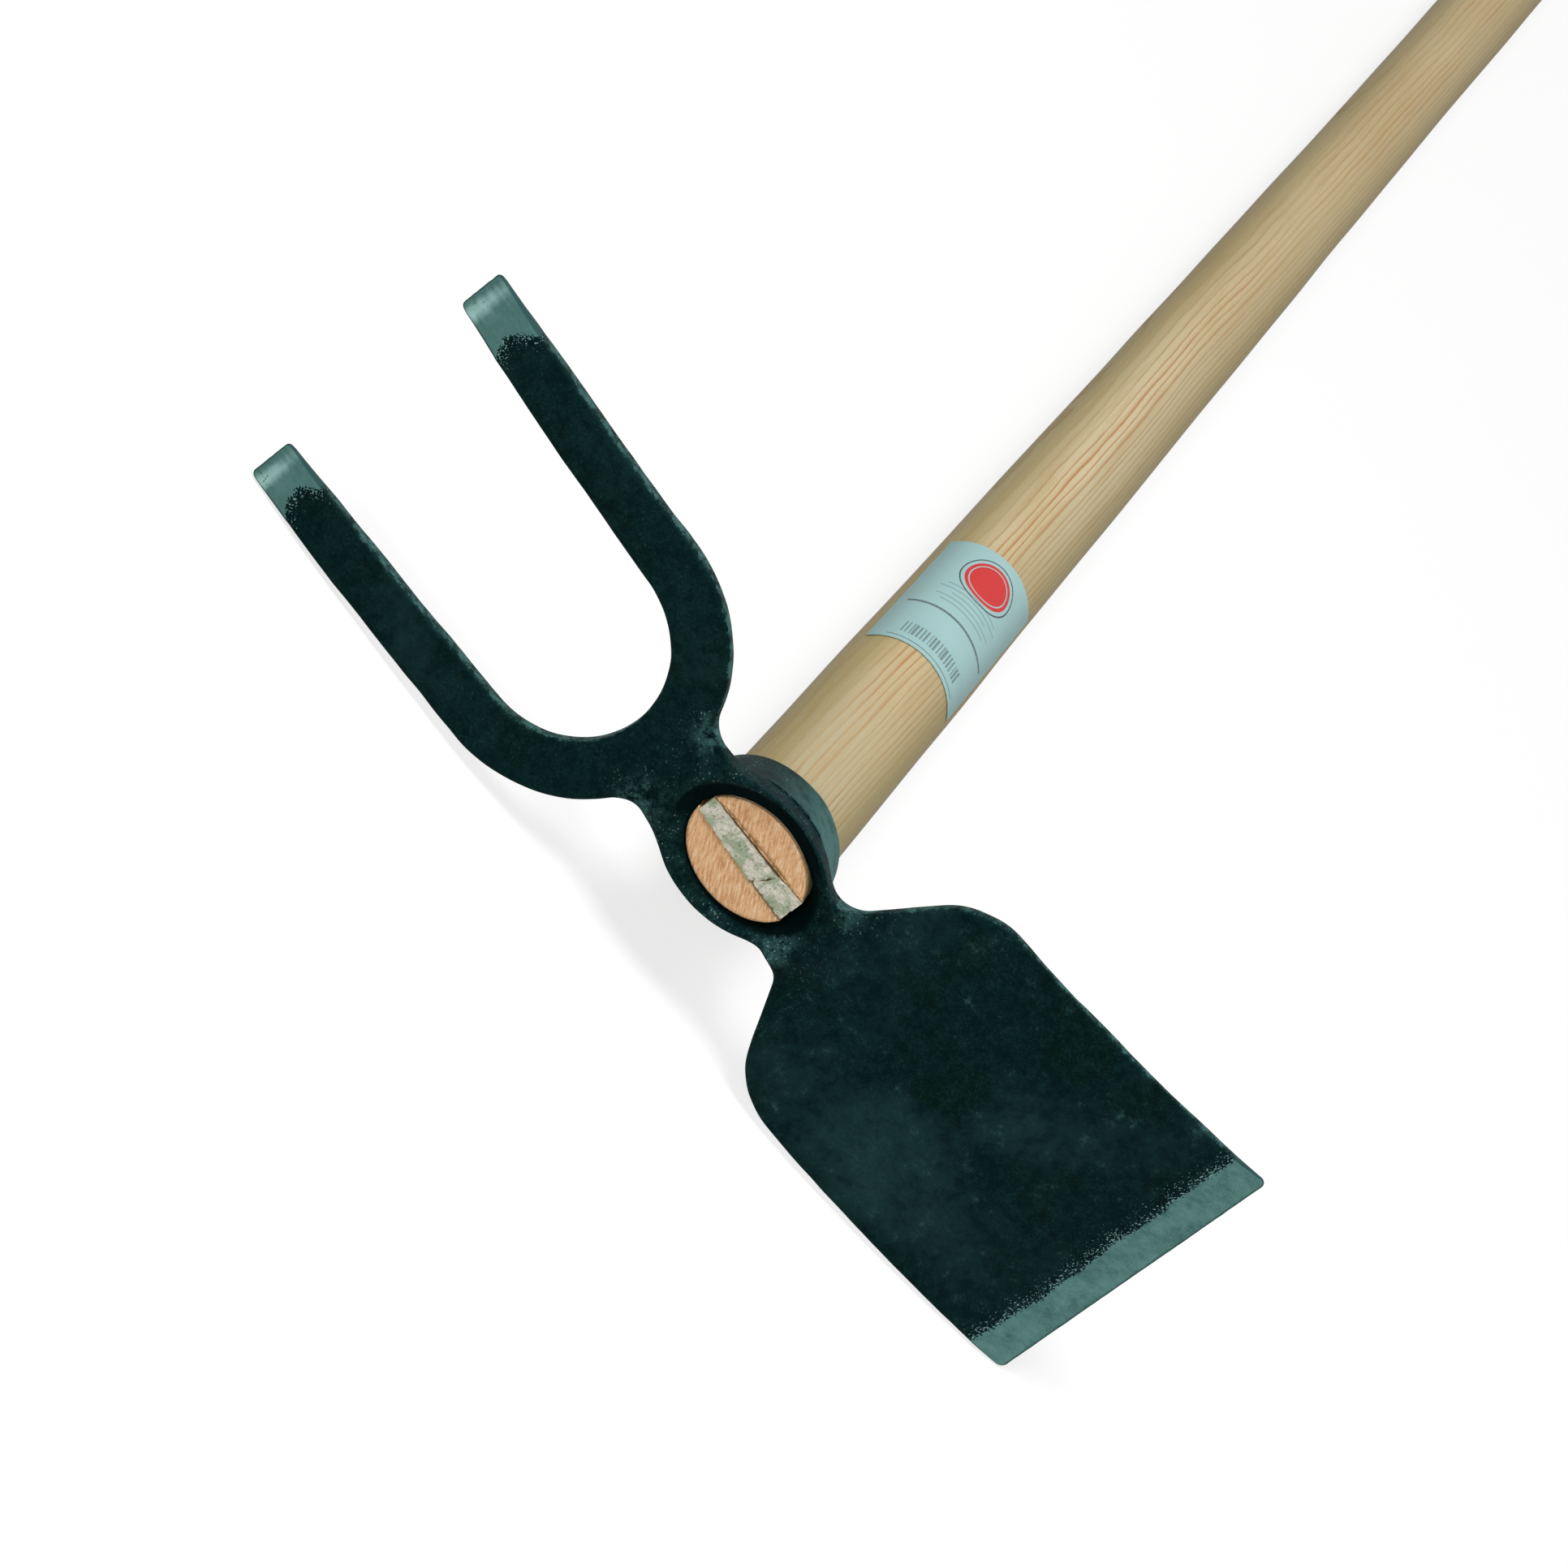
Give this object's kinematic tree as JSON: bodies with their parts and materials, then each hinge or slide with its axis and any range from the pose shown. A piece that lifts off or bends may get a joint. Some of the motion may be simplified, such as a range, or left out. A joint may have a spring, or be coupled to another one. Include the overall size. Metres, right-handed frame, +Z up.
{
  "type": "combination hoe",
  "caption": "Long-handled garden tool whose forged, painted steel head has a wide blade on one side and a two-tine fork on the other, held on a tapered ash handle by a wooden wedge.",
  "frame": {"origin": "centre of the bounding box in X and Y, on the floor that the hoe lies on", "axes": "+X from the fork towards the cutting edge of the blade, +Y from the head along the handle to the grip end, +Z up across the head; the hoe lies on its side on one blade corner, one tine tip and the grip end"},
  "size_m": [0.328, 1.3028, 0.0996],
  "materials": {
    "head_paint": "thin blackish-green satin paint over hammered forging scale, bare ground steel at the cutting edge and the tine tips",
    "handle_ash": "smooth turned pale ash, thinly lacquered, grain along the handle",
    "label_paper": "smooth pale blue-grey printed paper, satin",
    "wedge_wood": "raw pale wood, weathered grey-green and speckled"
  },
  "bodies": {
    "root": {"forged_head": "head_paint", "handle": "handle_ash", "label": "label_paper", "wedge": "wedge_wood", "wedge_broken_end": "wedge_wood"}
  },
  "joints": []
}
